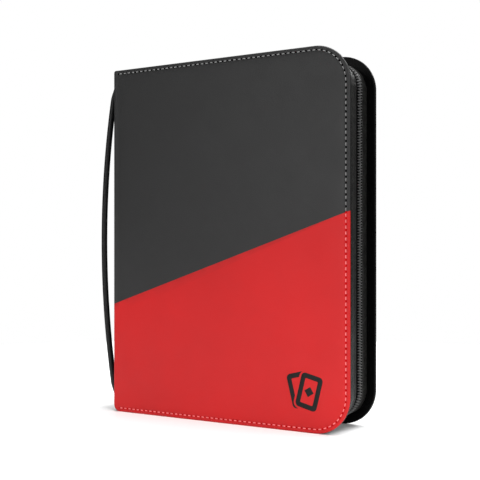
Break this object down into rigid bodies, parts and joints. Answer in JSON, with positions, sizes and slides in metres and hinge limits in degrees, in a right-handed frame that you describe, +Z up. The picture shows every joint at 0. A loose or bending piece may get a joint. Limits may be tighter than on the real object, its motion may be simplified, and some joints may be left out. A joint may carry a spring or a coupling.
{
  "type": "zip-around trading card ring binder",
  "caption": "Zip-around card binder with two padded covers, gusset, ring mechanism, pocket sheets and a spine handle.",
  "frame": {"origin": "on the surface it stands on, under the middle of the whole binder with its handle", "axes": "+X from the spine to the opening edge, -Y the front cover's outer face, +Z up along the spine"},
  "size_m": [0.2872, 0.062, 0.35],
  "materials": {
    "black_skin": "smooth black PU leather with a fine grain",
    "grey_skin": "smooth charcoal PU leather with a fine grain",
    "red_skin": "smooth red PU leather with a fine grain",
    "handle_skin": "black rolled PU leather",
    "gusset_skin": "thin black PU leather",
    "board": "grey binder's board",
    "lining": "black woven lining",
    "mark_print": "dark printed mark",
    "zip_tape": "black woven tape",
    "zip_teeth": "black nylon teeth",
    "zip_metal": "gunmetal zip hardware",
    "ring_steel": "nickel-plated steel",
    "sheet_base": "black sheet base",
    "pocket_film": "clear soft film"
  },
  "bodies": {
    "back_cover": {"back_skin": "black_skin", "back_board": "board", "back_lining": "lining", "back_gusset": "gusset_skin", "back_zip_tape": "zip_tape", "back_zip_coil": "zip_teeth", "back_zip_stops": "zip_metal"},
    "spine": {"spine_skin": "black_skin", "spine_board": "board", "spine_lining": "lining", "carry_handle": "handle_skin", "ring_rail": "ring_steel", "rail_rivets": "ring_steel", "booster_pins": "ring_steel", "front_hinge_strip": "gusset_skin", "back_hinge_strip": "gusset_skin"},
    "front_cover": {"front_skin_black": "grey_skin", "front_skin_red": "red_skin", "front_board": "board", "front_lining": "lining", "front_mark": "mark_print", "front_gusset": "gusset_skin", "front_zip_tape": "zip_tape", "front_zip_coil": "zip_teeth", "front_zip_stops": "zip_metal"},
    "front_rings": {"front_ring_halves": "ring_steel", "front_hinge_plate": "ring_steel"},
    "back_rings": {"back_ring_halves": "ring_steel", "back_hinge_plate": "ring_steel"},
    "top_booster": {"booster_top": "ring_steel"},
    "bottom_booster": {"booster_bottom": "ring_steel"},
    "slider": {"zip_slider": "zip_metal"},
    "pull": {"zip_pull": "zip_metal"},
    "front_page_1": {"front_sheet_1": "sheet_base", "front_pockets_1": "pocket_film"},
    "back_page_1": {"back_sheet_1": "sheet_base", "back_pockets_1": "pocket_film"},
    "front_page_2": {"front_sheet_2": "sheet_base", "front_pockets_2": "pocket_film"},
    "back_page_2": {"back_sheet_2": "sheet_base", "back_pockets_2": "pocket_film"},
    "front_page_3": {"front_sheet_3": "sheet_base", "front_pockets_3": "pocket_film"},
    "back_page_3": {"back_sheet_3": "sheet_base", "back_pockets_3": "pocket_film"},
    "front_page_4": {"front_sheet_4": "sheet_base", "front_pockets_4": "pocket_film"},
    "back_page_4": {"back_sheet_4": "sheet_base", "back_pockets_4": "pocket_film"},
    "front_page_5": {"front_sheet_5": "sheet_base", "front_pockets_5": "pocket_film"},
    "back_page_5": {"back_sheet_5": "sheet_base", "back_pockets_5": "pocket_film"}
  },
  "joints": [
    {"name": "spine_hinge", "type": "hinge", "parent": "back_cover", "child": "spine", "pos_m": [-0.11915, 0.0288, 0.175], "axis": [0, 0, -1], "range_deg": [0, 90], "deforming": ["back_hinge_strip"]},
    {"name": "front_cover_hinge", "type": "hinge", "parent": "spine", "child": "front_cover", "pos_m": [-0.11915, -0.0288, 0.175], "axis": [0, 0, -1], "range_deg": [0, 90], "deforming": ["front_hinge_strip"]},
    {"name": "ring_opening", "type": "hinge", "parent": "spine", "child": "front_rings", "pos_m": [-0.11445, 0, 0.175], "axis": [0, 0, -1], "range_deg": [0, 9]},
    {"name": "back_ring_opening", "type": "hinge", "parent": "spine", "child": "back_rings", "pos_m": [-0.11445, 0, 0.175], "axis": [0, 0, -1], "range_deg": [-9, 0]},
    {"name": "top_booster_tilt", "type": "hinge", "parent": "spine", "child": "top_booster", "pos_m": [-0.11495, 0, 0.314], "axis": [0, -1, 0], "range_deg": [0, 25.2]},
    {"name": "bottom_booster_tilt", "type": "hinge", "parent": "spine", "child": "bottom_booster", "pos_m": [-0.11495, 0, 0.036], "axis": [0, 1, 0], "range_deg": [0, 25.2]},
    {"name": "zip_slide", "type": "slide", "parent": "back_cover", "child": "slider", "axis": [1, 0, 0], "range_m": [0, 0.178]},
    {"name": "pull_flip", "type": "hinge", "parent": "slider", "child": "pull", "pos_m": [-0.08435, 0.012, 0.3445], "axis": [0, 1, 0], "range_deg": [0, 180]},
    {"name": "front_page_1_turn", "type": "hinge", "parent": "spine", "child": "front_page_1", "pos_m": [-0.10035, 0, 0.175], "axis": [0, 0, -1], "range_deg": [0, 90]},
    {"name": "back_page_1_turn", "type": "hinge", "parent": "spine", "child": "back_page_1", "pos_m": [-0.10035, 0, 0.175], "axis": [0, 0, -1], "range_deg": [-90, 0]},
    {"name": "front_page_2_turn", "type": "hinge", "parent": "spine", "child": "front_page_2", "pos_m": [-0.10035, 0, 0.175], "axis": [0, 0, -1], "range_deg": [0, 90.22]},
    {"name": "back_page_2_turn", "type": "hinge", "parent": "spine", "child": "back_page_2", "pos_m": [-0.10035, 0, 0.175], "axis": [0, 0, -1], "range_deg": [-90.22, 0]},
    {"name": "front_page_3_turn", "type": "hinge", "parent": "spine", "child": "front_page_3", "pos_m": [-0.10035, 0, 0.175], "axis": [0, 0, -1], "range_deg": [0, 90.45]},
    {"name": "back_page_3_turn", "type": "hinge", "parent": "spine", "child": "back_page_3", "pos_m": [-0.10035, 0, 0.175], "axis": [0, 0, -1], "range_deg": [-90.45, 0]},
    {"name": "front_page_4_turn", "type": "hinge", "parent": "spine", "child": "front_page_4", "pos_m": [-0.10035, 0, 0.175], "axis": [0, 0, -1], "range_deg": [0, 90.67]},
    {"name": "back_page_4_turn", "type": "hinge", "parent": "spine", "child": "back_page_4", "pos_m": [-0.10035, 0, 0.175], "axis": [0, 0, -1], "range_deg": [-90.67, 0]},
    {"name": "front_page_5_turn", "type": "hinge", "parent": "spine", "child": "front_page_5", "pos_m": [-0.10035, 0, 0.175], "axis": [0, 0, -1], "range_deg": [0, 90.9]},
    {"name": "back_page_5_turn", "type": "hinge", "parent": "spine", "child": "back_page_5", "pos_m": [-0.10035, 0, 0.175], "axis": [0, 0, -1], "range_deg": [-90.9, 0]}
  ],
  "couplings": [
    {"joint": "back_ring_opening", "follows": "ring_opening", "ratio": -1},
    {"joint": "top_booster_tilt", "follows": "ring_opening", "ratio": 2.8},
    {"joint": "bottom_booster_tilt", "follows": "ring_opening", "ratio": 2.8},
    {"joint": "front_page_1_turn", "follows": "front_cover_hinge", "ratio": 1},
    {"joint": "back_page_1_turn", "follows": "spine_hinge", "ratio": -1},
    {"joint": "front_page_2_turn", "follows": "front_cover_hinge", "ratio": 1.0025},
    {"joint": "back_page_2_turn", "follows": "spine_hinge", "ratio": -1.0025},
    {"joint": "front_page_3_turn", "follows": "front_cover_hinge", "ratio": 1.005},
    {"joint": "back_page_3_turn", "follows": "spine_hinge", "ratio": -1.005},
    {"joint": "front_page_4_turn", "follows": "front_cover_hinge", "ratio": 1.0075},
    {"joint": "back_page_4_turn", "follows": "spine_hinge", "ratio": -1.0075},
    {"joint": "front_page_5_turn", "follows": "front_cover_hinge", "ratio": 1.01},
    {"joint": "back_page_5_turn", "follows": "spine_hinge", "ratio": -1.01}
  ]
}
